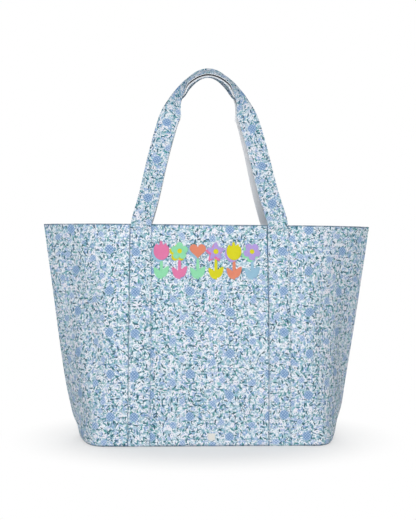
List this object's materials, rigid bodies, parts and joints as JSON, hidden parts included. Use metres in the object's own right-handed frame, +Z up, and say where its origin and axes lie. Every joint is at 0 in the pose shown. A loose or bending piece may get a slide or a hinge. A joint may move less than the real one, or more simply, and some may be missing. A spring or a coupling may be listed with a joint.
{
  "type": "knitting bag",
  "caption": "Boxed cloth tote for knitting: printed shell, plain lining, stiffened base, inside pocket, snap, and strap handles that fold over the rim.",
  "frame": {"origin": "on the floor, under the middle of the bag's box", "axes": "+Z up, -Y out of the front face, +X to the right as the front is looked at"},
  "size_m": [0.5594, 0.1812, 0.6302],
  "materials": {
    "printed_cloth": "interlined cotton, small floral print",
    "lining_cloth": "plain woven cotton",
    "strap_backing": "plain twill tape",
    "base_stiffener": "thin sheet, matte",
    "snap_metal": "nickel plated",
    "label_cloth": "woven tape, bare"
  },
  "bodies": {
    "bag": {"back_lining": "lining_cloth", "back_panel": "printed_cloth", "back_rim_facing": "printed_cloth", "back_strap_backing": "strap_backing", "back_strap_left": "printed_cloth", "back_strap_right": "printed_cloth", "base_board": "base_stiffener", "base_lining": "lining_cloth", "base_panel": "printed_cloth", "front_lining": "lining_cloth", "front_panel": "printed_cloth", "front_rim_facing": "printed_cloth", "front_strap_backing": "strap_backing", "front_strap_left": "printed_cloth", "front_strap_right": "printed_cloth", "label_tag": "label_cloth", "slip_pocket": "lining_cloth", "snap_socket": "snap_metal", "snap_stud": "snap_metal"},
    "front_loop": {"front_handle": "printed_cloth", "front_handle_backing": "strap_backing"},
    "back_loop": {"back_handle": "printed_cloth", "back_handle_backing": "strap_backing"}
  },
  "joints": [
    {"name": "front_handle_fold", "type": "hinge", "parent": "bag", "child": "front_loop", "pos_m": [0, -0.04765, 0.3615], "axis": [1, 0, 0], "range_deg": [0, 165]},
    {"name": "back_handle_fold", "type": "hinge", "parent": "bag", "child": "back_loop", "pos_m": [0, 0.04765, 0.3615], "axis": [-1, 0, 0], "range_deg": [0, 165]}
  ]
}
